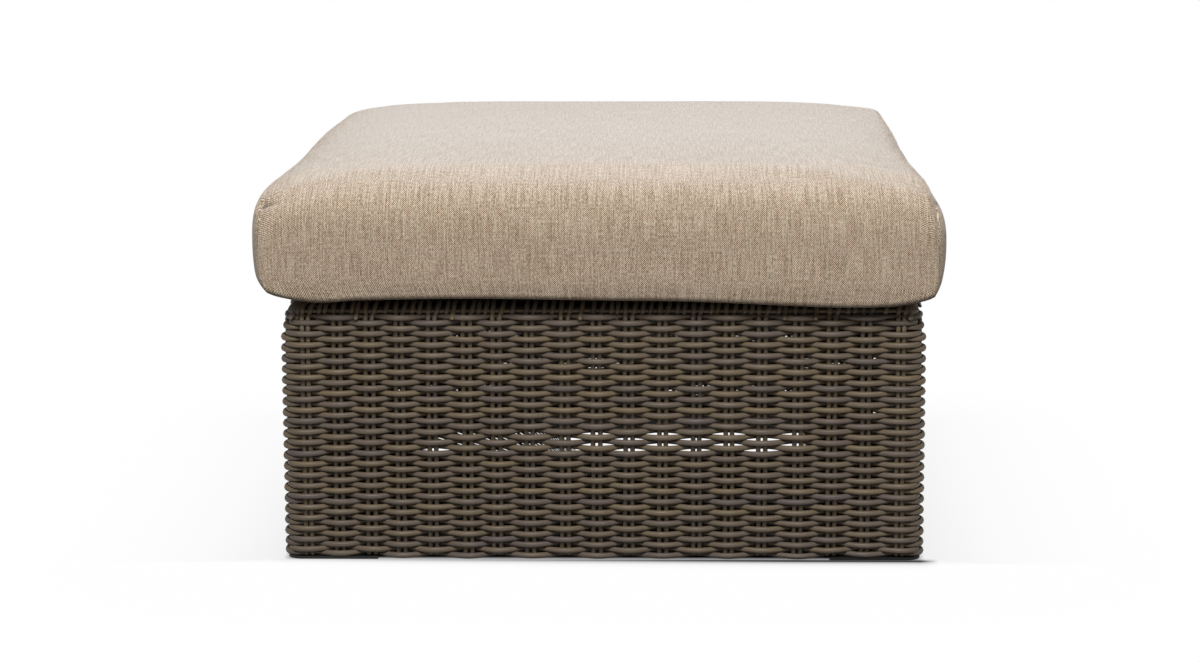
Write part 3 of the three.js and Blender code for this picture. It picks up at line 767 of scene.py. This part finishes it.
def carried(points, start, moved, near=8):
    """Displacements at points, from the nearest start points."""
    tree = KDTree(len(start))
    for index, point in enumerate(start):
        tree.insert(point, index)
    tree.balance()
    out = np.empty_like(points)
    for i, point in enumerate(points):
        found = tree.find_n(point, near)
        weight = np.array([1 / (f[2] + 1.0) ** 2 for f in found])
        out[i] = (moved[[f[1] for f in found]] * weight[:, None]).sum(axis=0) / weight.sum()
    return out


# Lie of the cover, its seams, tucks and zip

SEAM_MIDDLE = 64.0  # height of an end panel's middle over the underside
SEAM_HALF = 62.0  # from there to its seam
GROOVE_DEPTH = 0.6
GROOVE_WIDTH = 2.8
PUCKER_WAVES = ((13.0, 0.45), (21.0, 0.35), (47.0, 0.5))  # lengths, and how strong each is
PUCKER_BAND, PUCKER_PANEL = 0.24, 0.05  # depths
PUCKER_REACH = 11.0
CREASE_WIDTH = 1.5
FOLD_HEIGHT = 1.5  # of the fold round the zip


class Tuck(NamedTuple):
    """A crease at an upper front corner, from start to end as x and height over the underside."""
    start: tuple
    end: tuple
    width: float
    depth: float


TUCKS = (
    Tuck((-359.0, 104.5), (-343.0, 109.0), width=3.2, depth=3.4),
    Tuck((354.0, 104.5), (349.0, 107.5), width=3.0, depth=0.4),
)


def settle(points):
    """The lie of the loose cover: its front edge hangs unevenly."""
    x, y, z = points.T
    low = smooth((64 - (z - CUSHION_BASE)) / 50)
    lift = 2.4 * bell((x + 135) / 130) * smooth((-y - 280) / 60)
    drop = 7.0 * smooth((x - 60) / 210) + 3.0 * smooth((-x - 255) / 50)
    return join(x, y, z + low * (lift - drop * smooth((-y - 340) / 14)))


def tucked(points):
    """How deep the corner creases press the cover in, and how far each point lies in their shade."""
    depth = np.zeros(len(points))
    shade = np.zeros(len(points))
    front = smooth((-points[:, 1] - 290) / 20)
    seen = points[:, [0, 2]] - (0, CUSHION_BASE)
    for tuck in TUCKS:
        run = np.array(tuck.end) - tuck.start
        along = np.clip((seen - tuck.start) @ run / (run @ run), 0, 1)
        gap = np.linalg.norm(seen - tuck.start - along[:, None] * run, axis=1)
        depth += front * tuck.depth * bell(gap / tuck.width) * (1 - 0.6 * along)
        # Painted shade along each crease, strongest at its start.
        shade += front * bell(gap / CREASE_WIDTH) * (1 - 0.7 * along)
    return depth, shade


def zip_opening(points):
    """The cover folded back along both edges of the zip, behind its tape."""
    x, y, z = points.T
    off = np.abs(z - CUSHION_BASE - ZIP_MIDDLE) - (tape_high[2] - tape_low[2]) / 2
    beside = np.abs(x) - ZIP_HALF
    back = smooth((y - 330) / 10)
    away = np.hypot(np.maximum(off, 0), np.maximum(beside, 0))
    within = smooth((2.2 - away) / 2.2) * back
    fold = FOLD_HEIGHT * bell((np.maximum(off, beside) - 3.6) / 1.9) * smooth((9 - away) / 4) * back
    return join(x, y * (1 - within) + np.minimum(y, tape_low[1] - 0.5) * within + fold, z)


def cushion_cover():
    """The cushion's cover: swollen, puckered along its end seams, with a tuck at each front corner."""
    piece, points, stations, loop = cushion_shell("cushion_cover")
    mesh = piece.data
    points = points + carried(points, *swelling(piece))
    put_points(mesh, points)
    normal = read(mesh, "normal")
    x, y, z = points.T
    band_points = stations * loop
    is_panel = np.arange(len(points)) >= band_points
    rim_share = np.maximum(np.abs(y) / BAND_REACH, np.abs(z - CUSHION_BASE - SEAM_MIDDLE) / SEAM_HALF)
    on_panel = (1 - np.clip(rim_share, 0, 1)) * SEAM_HALF
    off_seam = np.maximum(np.where(is_panel, on_panel, seam_near(points) - np.abs(x)), 0)
    line = lengths_along(points[:band_points].reshape(stations, loop, 3)[stations // 2])
    panel = np.append(np.tile(line, PANEL_RINGS - 1), 0.0)
    arc = np.concatenate([np.tile(line, stations), panel, panel])
    waves = (size * np.sin(arc * math.tau / wave + rng.uniform(0, 6)) for wave, size in PUCKER_WAVES)
    pucker = np.where(is_panel, PUCKER_PANEL, PUCKER_BAND) * sum(waves) * np.exp(-off_seam / PUCKER_REACH)
    groove = GROOVE_DEPTH * bell(off_seam / GROOVE_WIDTH)
    pressed, shade = tucked(points)
    store(mesh, "fold_shade", shade)
    slow = 0.9 * np.sin(x / 57.0 + 1.3) * np.sin(y / 71.0 + 0.4) * np.exp(-off_seam / 150.0)
    points = points - normal * (groove + pucker + pressed - slow)[:, None]
    put_points(mesh, points)
    put_points(mesh, zip_opening(settle(points)))
    write_cloth(mesh, line, stations, loop)
    return piece


RIGHT_CLOTH, LEFT_CLOTH = 900.0, 1700.0  # where the end panels' cloth lies, clear of the band's
BAND_TOP = 0.74  # of the band in the atlas
PANEL_FOOT = 0.76
PANEL_PITCH = 0.12
PANEL_TALL = 0.11


def write_cloth(mesh, line, stations, loop):
    """Corner attribute with the cloth's own coordinates in metres, a point attribute of painted sheen on upward
    faces, and an atlas of band and panels.
    """
    vertex = np.empty(len(mesh.loops), dtype=np.int32)
    mesh.loops.foreach_get("vertex_index", vertex)
    points = points_of(mesh)
    total = line[-1] + (line[1] - line[0])
    band = (stations - 1) * loop * 4
    arc = line[vertex[:band] % loop].reshape(-1, 4)
    wraps = arc.max(axis=1) - arc.min(axis=1) > total / 2
    arc[wraps] = np.where(arc[wraps] < total / 2, arc[wraps] + total, arc[wraps])
    across = station_shares()[vertex[:band] // loop]
    x, y, z = points[vertex[band:]].T
    of_band = join(across * SEAM_REACH, arc.ravel(), 0)
    of_panels = join(y, z, np.where(x > 0, RIGHT_CLOTH, LEFT_CLOTH))
    store(mesh, "cloth", np.concatenate([of_band, of_panels]) * MM, "CORNER")
    # Painted sheen: upward faces get paler cloth, more so towards the back and less on the end panels.
    sheen_share = np.clip(read(mesh, "normal")[:, 2], 0, 1) ** 10
    sheen_share *= 0.7 + 0.3 * smooth((points[:, 1] + 330) / 300)
    sheen_share[stations * loop:] *= 0.4
    store(mesh, "painted_top_sheen", sheen_share)
    of_band = join(arc.ravel() / (total * 1.002), (across + 1) / 2 * BAND_TOP)
    panel_v = PANEL_FOOT + PANEL_PITCH * (x > 0) + (z - CUSHION_BASE + 10) / 150 * PANEL_TALL
    store_atlas(mesh, np.concatenate([of_band, join((y / BAND_REACH + 1.1) / 2.2, panel_v)]))


# Zip teeth

TOOTH_PITCH = 1.6  # from one tooth to the next, which comes from the tape's other side
TOOTH_HALF = 0.62
TOOTH_LOW, TOOTH_HIGH = -1.0, 1.9  # its ends, from the zip's middle
TOOTH_RINGS = ((0.0, 1.0), (0.75, 1.0), (1.0, 0.6))  # shares of its depth and of its width


def zip_teeth():
    """Moulded teeth that reach in from both sides of the zip by turns."""
    middle = (teeth_low[2] + teeth_high[2]) / 2
    depth = teeth_high[1] - teeth_low[1]
    centre = (TOOTH_LOW + TOOTH_HIGH) / 2
    points, faces = [], []
    for index in range(int((teeth_high[0] - teeth_low[0]) / TOOTH_PITCH)):
        place = teeth_low[0] + (index + 0.5) * TOOTH_PITCH
        hand = 1 if index % 2 == 0 else -1
        for out, grow in TOOTH_RINGS:
            for x, z in ((-1, TOOTH_LOW), (1, TOOTH_LOW), (1, TOOTH_HIGH), (-1, TOOTH_HIGH)):
                height = middle + hand * ((z - centre) * grow + centre)
                points.append((place + x * TOOTH_HALF * grow, teeth_low[1] + depth * out, height))
        rows = [(0, 1, 2, 3), (11, 10, 9, 8)]
        for ring in (0, 4):
            rows += [(ring + k, ring + 4 + k, ring + 4 + (k + 1) % 4, ring + (k + 1) % 4) for k in range(4)]
        faces += [[index * 12 + corner for corner in row[::hand]] for row in rows]
    piece = new_piece("zip_teeth_row", np.array(points), faces, soft=False)
    face_outwards(piece.data)
    return piece


# Materials

def arithmetic(operation):
    return lambda *values: values[0].nodes.math(operation, *values)


class Value:
    """A node's output. Arithmetic with it adds math nodes."""

    def __init__(self, nodes, socket):
        self.nodes = nodes
        self.socket = socket

    __add__ = arithmetic("ADD")
    __sub__ = arithmetic("SUBTRACT")
    __mul__ = arithmetic("MULTIPLY")
    __pow__ = arithmetic("POWER")
    __abs__ = arithmetic("ABSOLUTE")

    def __rsub__(self, other):
        return self.nodes.math("SUBTRACT", other, self)

    def clamped(self):
        """The same value, kept from 0 to 1."""
        self.socket.node.use_clamp = True
        return self


class Nodes:
    """A short way to build the nodes of a material or the world."""

    def __init__(self, name, owners=bpy.data.materials, kind="Material"):
        self.owner = owners.new(name)
        self.owner.use_nodes = True
        self.tree = self.owner.node_tree
        self.tree.nodes.clear()
        self.surface = self.tree.nodes.new(f"ShaderNodeOutput{kind}").inputs["Surface"]

    def put(self, target, value):
        """Links a value, or sets a number, a vector or the hex code of a colour."""
        if isinstance(value, Value):
            self.tree.links.new(value.socket, target)
        else:
            target.default_value = linear(value) if isinstance(value, str) else value

    def node(self, kind, inputs=(), output=0, **settings):
        """An output of a new node, with some of its inputs and settings."""
        node = self.tree.nodes.new(f"ShaderNode{kind}")
        for key, value in settings.items():
            setattr(node, key, value)
        for key, value in dict(inputs).items():
            self.put(node.inputs[key], value)
        return Value(self, node.outputs[output])

    def math(self, operation, *values):
        return self.node("Math", enumerate(values), operation=operation)

    def most(self, a, b):
        return self.math("MAXIMUM", a, b)

    def ray(self, kind):
        return self.node("LightPath", output=f"Is {kind} Ray")

    def place(self):
        return self.node("TexCoord", output="Object")

    def parts(self, vector):
        """A vector's x, y and z."""
        return [self.node("SeparateXYZ", {0: vector}, axis) for axis in range(3)]

    def attribute(self, name, output="Vector"):
        return self.node("Attribute", output=output, attribute_name=name)

    def scaled(self, vector, scale):
        return self.node("VectorMath", {0: vector, 1: scale}, operation="MULTIPLY")

    def noise(self, vector, scale, detail=2.0, rough=0.5, output="Fac"):
        """Noise, drawn finer by the scale along each axis."""
        inputs = {"Vector": self.scaled(vector, scale), "Scale": 1.0, "Detail": detail, "Roughness": rough}
        return self.node("TexNoise", inputs, output)

    def remap(self, value, low, high, to_low=0.0, to_high=1.0):
        limits = {"From Min": low, "From Max": high, "To Min": to_low, "To Max": to_high}
        return self.node("MapRange", {"Value": value, **limits}, "Result")

    def mix(self, factor, a, b):
        return self.node("Mix", {"Factor": factor, 6: a, 7: b}, 2, data_type="RGBA")

    def bump(self, height, strength, distance):
        return self.node("Bump", {"Height": height, "Strength": strength, "Distance": distance}, "Normal")

    def principled(self, **inputs):
        """A principled shader. Its inputs' names have underscores for spaces."""
        return self.node("BsdfPrincipled", {key.replace("_", " "): inputs[key] for key in inputs})

    def done(self, shader):
        """The material or world, with the shader on its surface."""
        self.put(self.surface, shader)
        return self.owner


def linear(hex_code):
    """Linear colour of an sRGB hex code."""
    channels = [int(hex_code[i:i + 2], 16) / 255 for i in (0, 2, 4)]
    return (*[c / 12.92 if c <= 0.04045 else ((c + 0.055) / 1.055) ** 2.4 for c in channels], 1.0)


def resin_material():
    """Extruded resin strand: olive and grey browns, streaked and finely grooved along its length."""
    n = Nodes("resin_strand")
    cross = n.attribute("cross")
    streaks = n.noise(cross, (700, 700, 9), 3)
    fine = n.noise(cross, (2600, 2600, 30))
    slow = n.noise(cross, (40, 40, 5), 1)
    hue = n.attribute("tint", "Fac") * 0.75 + (slow - 0.5) * 1.1
    hue = (hue + (streaks - 0.5) * 1.3).clamped()
    body = n.mix(hue, "7c6c53", "655a56")
    dark = n.remap(fine, 0.35, 0.7, 0.78, 1.12)
    shaded = n.node("VectorMath", {0: body, "Scale": dark}, operation="SCALE")
    flecks = n.remap(n.noise(cross, (1100, 1100, 160), 1), 0.76, 0.8)
    return n.done(n.principled(
        Base_Color=n.mix(flecks, shaded, "a58f5c"), Roughness=n.remap(streaks, 0.3, 0.7, 0.42, 0.58),
        Normal=n.bump(streaks * 0.6 + fine * 0.4, 0.5, 0.0004), Specular_IOR_Level=0.45,
    ))


THREAD_CELL = 1.13  # mm, side of one square of the weave
WOBBLE = 0.0009  # m, how far threads stray


def fabric_material():
    """Heathered basket weave: cream over brown threads, with slubs along the cloth, and painted sheen that makes
    upward faces paler and cooler.
    """
    n = Nodes("heather_weave")
    cloth = n.attribute("cloth")
    painted_sheen = n.attribute("painted_top_sheen", "Fac")
    wobble = n.noise(cloth, (260, 260, 260), 1, output="Color")
    shifted = n.node("VectorMath", {0: wobble, 1: (WOBBLE, WOBBLE, 0), 2: cloth}, operation="MULTIPLY_ADD")
    turn = math.pi / (THREAD_CELL * MM)
    weft, warp = (n.math("SINE", part * turn) for part in n.parts(shifted)[:2])
    checks = weft * warp
    slubs = n.noise(cloth, (560, 26, 560), 2, 0.6)
    bars = n.noise(cloth, (30, 560, 30))
    heather = n.noise(cloth, (640, 300, 640), 2, 0.7)
    clouds = n.noise(cloth, (11, 11, 11))
    amount = checks * 2.2
    for pattern, strength in ((slubs, 3.1), (bars, 1.0), (heather, 4.6), (clouds, 0.3)):
        amount = amount + (pattern - 0.5) * strength
    # Painted sheen: where the cover faces up, the threads turn paler and the colour cooler.
    dark = n.mix(painted_sheen, "7a5b3d", "b5a591")
    pale = n.mix(painted_sheen, "ebdac2", "f2e6d3")
    colour = n.mix((amount + 0.48).clamped(), dark, pale)
    colour = n.mix(painted_sheen ** 0.3, colour, n.scaled(colour, (0.965, 1.0, 1.12)))
    return n.done(n.principled(
        # Painted shade: fold_shade darkens the cloth in the tuck creases.
        Base_Color=n.mix(n.attribute("fold_shade", "Fac") * 0.9, colour, "4a3a2c"), Roughness=0.92,
        Normal=n.bump(checks * 0.5 + slubs * 0.8, 0.45, 0.0004), Specular_IOR_Level=0.2,
        Sheen_Weight=0.3, Sheen_Roughness=0.45,
    ))


def tape_material():
    """Twill tape of the zip."""
    n = Nodes("zip_tape_twill")
    x, _, z = n.parts(n.place())
    twill = n.math("SINE", x * 7000.0 + z * 5200.0)
    colour = n.mix(n.remap(twill, -1.0, 1.0), "8f7b66", "b9a68f")
    normal = n.bump(twill, 0.3, 0.0002)
    return n.done(n.principled(Base_Color=colour, Normal=normal, Roughness=0.9, Sheen_Weight=0.2))


def grained_material(name, tones, scale, rough, relief=None, spots=None, metallic=0.0):
    """A plain material whose gloss and relief follow a fine grain, and its tone too or else spots."""
    n = Nodes(name)
    grain = n.noise(n.place(), scale)
    tone = n.remap(grain, 0.3, 0.7)
    if spots:
        spot_scale, low, high = spots
        tone = n.remap(n.noise(n.place(), spot_scale, 3), low, high)
    inputs = {"Normal": n.bump(grain, *relief)} if relief else {}
    colour = n.mix(tone, *tones)
    gloss = n.remap(grain, 0.3, 0.7, *rough)
    return n.done(n.principled(Base_Color=colour, Roughness=gloss, Metallic=metallic, **inputs))


def coated_metal_material():
    """Satin powder coat over aluminium tube."""
    return grained_material("powder_coat", ("2f2a26", "3b342e"), (1800, 1800, 1800), (0.42, 0.6),
                            (0.25, 0.0002), ((9, 9, 9), 0.3, 0.75), 0.3)


def black_plastic_material():
    """Matte moulded plastic of the floor pads."""
    return grained_material("moulded_plastic", ("161616", "242322"), (1500, 1500, 1500), (0.5, 0.68),
                            (0.3, 0.0002), ((60, 60, 400), 0.5, 0.8))


def steel_material(name, tones, rough):
    """Brushed steel or plated zinc."""
    gloss = (rough - 0.08, rough + 0.1)
    return grained_material(name, tones, (300, 4000, 4000), gloss, (0.15, 0.0001), metallic=1.0)


def tooth_material():
    """Moulded resin of the zip's teeth."""
    return grained_material("zip_resin", ("94806a", "a8937b"), (900, 900, 900), (0.35, 0.5))


# Studio, in metres

FLOOR_REACH = 12000.0  # mm
EDGE = FACE * MM  # of the base on the floor
INSIDE = EDGE - 0.01  # where the floor under the base begins
SHADOW_FADE = 140.0  # per metre, of the contact shadow in front
WORLD_LIGHT = 0.27


def floor_material():
    """White to the eye, with painted shadow: a contact shadow in front, soft shade round the sides and dark
    under the base; a painted patch of light on the floor inside the base near its back; grey to the light.
    """
    n = Nodes("studio_floor")
    seen = n.most(n.most(n.ray("Camera"), n.ray("Glossy")), n.ray("Transmission"))
    x, y, _ = n.parts(n.place())
    across, along, fore = abs(x), abs(y), y * -1.0
    gone = n.math("SQRT", n.most(across - INSIDE, 0.0) ** 2.0 + n.most(along - INSIDE, 0.0) ** 2.0)
    # Painted shadow: the floor goes dark under the base and stays greyer round its sides, fading with distance.
    beyond = n.remap(gone, 0.0, 0.011, 0.0, 0.84)
    ahead = n.remap(fore, 0.33, 0.36, 0.0, 0.96)
    far = n.most(1.0 - n.math("EXPONENT", gone * -13.0), n.remap(x, 0.3, 0.4, 0.0, 0.4))
    shown = beyond + (1.0 - beyond) * n.most(far, ahead)
    # Painted contact shadow along the front edge, deeper towards the right.
    contact = n.math("EXPONENT", n.most(fore - EDGE, 0.0) * -SHADOW_FADE) * n.remap(fore, INSIDE, EDGE)
    contact = contact * n.remap(x, -0.35, 0.2, 0.1, 1.3) * n.remap(across, 0.36, 0.34)
    # Painted light: a bright strip on the floor inside the base, near its back.
    painted_light_patch = n.remap(y, 0.185, 0.195) * n.remap(across, 0.24, 0.23) * n.remap(along, EDGE, INSIDE)
    white = n.most(shown * (1.0 - contact).clamped(), painted_light_patch)
    plain = n.principled(Base_Color="464646", Roughness=0.9, Specular_IOR_Level=0.0)
    return n.done(n.node("MixShader", {0: seen * white, 1: plain, 2: n.node("Emission")}))


def studio_world():
    """White to the eye, and a soft fill light."""
    n = Nodes("studio", bpy.data.worlds, "World")
    strength = n.remap(n.most(n.ray("Camera"), n.ray("Transmission")), 0.0, 1.0, WORLD_LIGHT, 1.0)
    return n.done(n.node("Background", {"Color": (1, 1, 1, 1), "Strength": strength}))


def studio():
    """A pale floor, a white surround and soft light from above and in front."""
    scene = bpy.context.scene
    scene.view_settings.view_transform = "Standard"
    corners = np.array([(-1, -1, 0), (1, -1, 0), (1, 1, 0), (-1, 1, 0)]) * FLOOR_REACH
    floor = new_piece("studio_floor", corners, [(0, 1, 2, 3)], soft=False)
    floor.data.materials.append(floor_material())
    scene.world = studio_world()
    lamp("overhead_softbox", (0.0, 1.1, 2.9), (0.0, 0.0, 0.4), (2.8, 2.0), 44)
    lamp("front_softbox", (-0.05, -2.68, 2.74), (0.0, -0.34, 0.27), (2.6, 1.1), 95)


def lamp(name, place, target, size, watts):
    """A rectangular soft lamp turned to a target."""
    light = bpy.data.lights.new(name, "AREA")
    light.shape = "RECTANGLE"
    light.size, light.size_y = size
    light.energy = watts
    holder = new_object(name, light)
    holder.location = place
    holder.rotation_mode = "QUATERNION"
    holder.rotation_quaternion = Vector(np.array(target) - np.array(place)).to_track_quat("-Z", "Y")


CAMERA_PLACE = (90.76, -3627.04, 855.35)  # mm
CAMERA_ANGLES = (1.6235, 10.43, -0.253)  # degrees: turned left, tilted down and rolled


def camera():
    """The camera of the photograph, fitted to the base's edges."""
    yaw, pitch, roll = (math.radians(angle) for angle in CAMERA_ANGLES)
    ahead = Vector((-math.sin(yaw) * math.cos(pitch), math.cos(yaw) * math.cos(pitch), -math.sin(pitch)))
    right = Vector((math.cos(yaw), math.sin(yaw), 0))
    up = right.cross(ahead)
    rolled_right = right * math.cos(roll) + up * math.sin(roll)
    axes = (rolled_right, up * math.cos(roll) - right * math.sin(roll), -ahead)
    data = bpy.data.cameras.new("camera")
    data.sensor_width = 36.0
    data.lens = 94.4
    holder = new_object("camera", data)
    holder.matrix_world = Matrix.Translation(Vector(CAMERA_PLACE) * MM) @ Matrix(axes).transposed().to_4x4()
    bpy.context.scene.camera = holder


# The pieces, put together

def dress(piece, body, slot_name, material, *nodes):
    """Material, body and replaced nodes of a piece. The slot name is not used."""
    piece.data.materials.append(material)
    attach(piece, body)
    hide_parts(*nodes)


def assign(node, material):
    """Puts a material in every slot of a frame node."""
    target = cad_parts[node]
    if not target.material_slots:
        target.data.materials.append(material)
    for place in target.material_slots:
        place.material = material


camera()
studio()
resin = resin_material()
side_nodes = [f"woven_side_{name}" for name in BASE_SIDES]
rim_nodes = [f"wrapped_rim_{name}" for name in BASE_SIDES]

for piece in level_strands():
    dress(piece, "base", "resin_weave", resin, *side_nodes)
for piece, side_node, rim_node in zip(upright_strands(), side_nodes, rim_nodes):
    dress(piece, "base", "resin_weave", resin, side_node, rim_node)
for piece, rim_node in zip(rim_wraps(), rim_nodes):
    dress(piece, "base", "resin_weave", resin, rim_node)
dress(rim_core(), "base", "resin_weave", resin, *rim_nodes)
for piece in seat_deck():
    dress(piece, "base", "resin_weave", resin, "woven_seat_deck")

cover = cushion_cover()
dress(cover, "cushion", "cover_fabric", fabric_material(), "cushion_cover_band", "cushion_end_panel_left",
      "cushion_end_panel_right", "cushion_fibre_wrap", "cushion_foam_core")
dress(zip_teeth(), "cushion", "zip_teeth", tooth_material(), "zip_teeth")

LOOKS = {
    ("corner_post", "top_rail", "bottom_rail", "deck_cross"): coated_metal_material(),
    ("floor_pad",): black_plastic_material(),
    ("pad_screw",): steel_material("screw_steel", ("a5a5a3", "c4c4c2"), 0.34),
    ("zip_tape",): tape_material(),
    ("zip_slider", "zip_pull_tab"): steel_material("zip_zinc", ("8b8274", "a59b8c"), 0.36),
}
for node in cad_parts:
    for starts, material in LOOKS.items():
        if node.startswith(starts):
            assign(node, material)
